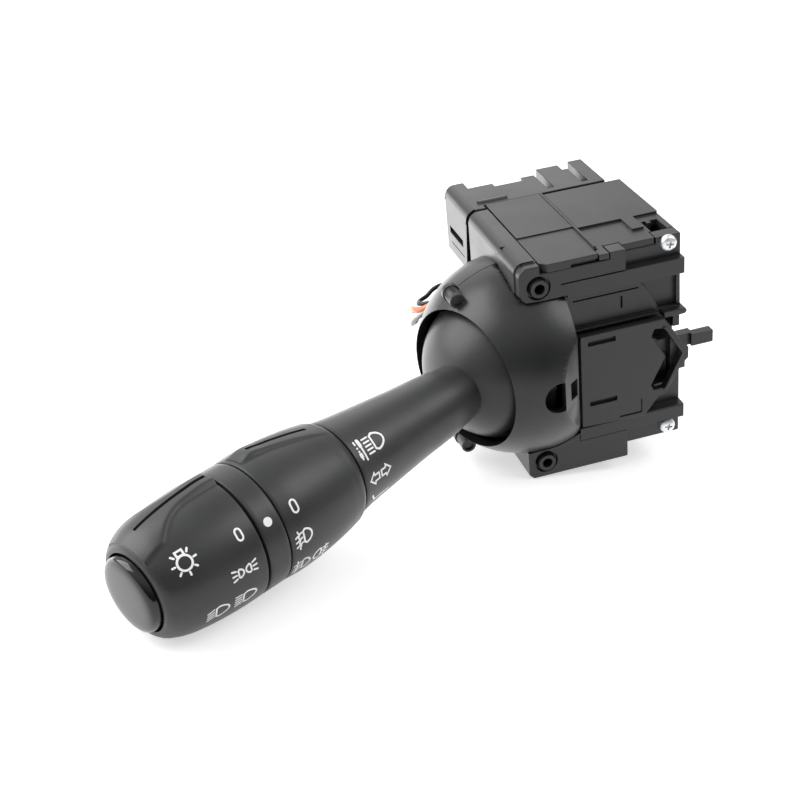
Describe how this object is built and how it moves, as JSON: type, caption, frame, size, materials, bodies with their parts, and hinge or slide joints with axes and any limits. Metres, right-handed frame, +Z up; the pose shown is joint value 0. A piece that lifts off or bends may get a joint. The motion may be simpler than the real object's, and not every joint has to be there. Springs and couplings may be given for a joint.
{
  "type": "combination stalk switch",
  "caption": "Steering-column stalk switch: tapered stalk with turning lamp knob, fog ring and end button, ball joint in a dome, boxed switch case.",
  "frame": {"origin": "midway between the two screw bosses, on their front faces", "axes": "+X towards the steering column, -Y towards the driver, +Z up; the stalk points left and towards the driver"},
  "size_m": [0.1606, 0.1111, 0.0609],
  "materials": {
    "case_plastic": "black moulded plastic with a fine satin grain",
    "cover_plastic": "dark grey moulded plastic, satin",
    "dome_plastic": "black moulded plastic with a fine satin grain",
    "stalk_plastic": "charcoal soft-touch moulded plastic with white printed pictograms",
    "button_gloss": "polished black plastic",
    "zinc": "bright zinc plate",
    "steel": "plain steel",
    "die_cast": "bare die-cast metal",
    "nylon": "natural nylon",
    "contact_metal": "copper alloy",
    "board": "green contact board",
    "lead_black": "black lead insulation",
    "lead_orange": "orange lead insulation",
    "lead_grey": "grey lead insulation"
  },
  "bodies": {
    "housing": {"main_case": "case_plastic", "rear_housing": "case_plastic", "left_cover": "cover_plastic", "right_cover": "cover_plastic", "latch_plate": "case_plastic", "dome_front": "dome_plastic", "dome_rear": "dome_plastic", "case_screws": "zinc", "contact_board": "board", "contact_tracks": "contact_metal", "terminals": "contact_metal", "detent_block": "nylon", "pivot_bracket": "die_cast", "lead_clip": "case_plastic", "lead_black": "lead_black", "lead_orange": "lead_orange", "lead_grey": "lead_grey", "cancel_spring": "steel", "cancel_pin": "steel"},
    "carrier": {"carrier": "die_cast", "carrier_pin": "steel", "detent_plunger": "nylon", "contact_wiper": "contact_metal"},
    "lever": {"lever_block": "die_cast", "lever_pin": "steel", "flash_spring": "steel", "ball_cap": "stalk_plastic", "stem_shell": "stalk_plastic", "core_rod": "steel", "marker_ring": "stalk_plastic", "snap_dome": "steel"},
    "fog_control": {"fog_ring": "stalk_plastic", "fog_wiper": "contact_metal"},
    "light_control": {"light_knob": "stalk_plastic", "knob_tube": "nylon", "knob_rotor": "nylon"},
    "button": {"horn_button": "button_gloss", "button_plunger": "nylon"},
    "cancel": {"cancel_finger": "case_plastic"}
  },
  "joints": [
    {"name": "indicator", "type": "hinge", "parent": "housing", "child": "carrier", "pos_m": [-0.0071, 0.0136, 0], "axis": [0, 1, 0], "range_deg": [-8, 8]},
    {"name": "flash", "type": "hinge", "parent": "carrier", "child": "lever", "pos_m": [-0.0071, 0.0136, 0], "axis": [0, 0, 1], "range_deg": [0, 8], "stiffness_Nm_per_rad": 1, "springref_deg": -5.73},
    {"name": "fog_turn", "type": "hinge", "parent": "lever", "child": "fog_control", "pos_m": [-0.00614, 0.01185, 0], "axis": [-0.8763, -0.4818, 0], "range_deg": [0, 60]},
    {"name": "light_turn", "type": "hinge", "parent": "lever", "child": "light_control", "pos_m": [-0.00614, 0.01185, 0], "axis": [-0.8763, -0.4818, 0], "range_deg": [0, 54]},
    {"name": "horn_press", "type": "slide", "parent": "lever", "child": "button", "axis": [0.8763, 0.4818, 0], "range_m": [0, 0.0016], "stiffness_N_per_m": 2500, "springref_m": -0.001},
    {"name": "cancel_tip", "type": "hinge", "parent": "housing", "child": "cancel", "pos_m": [0.0294, 0.004, 0], "axis": [0, 1, 0], "range_deg": [-12, 12], "stiffness_Nm_per_rad": 0.05}
  ]
}
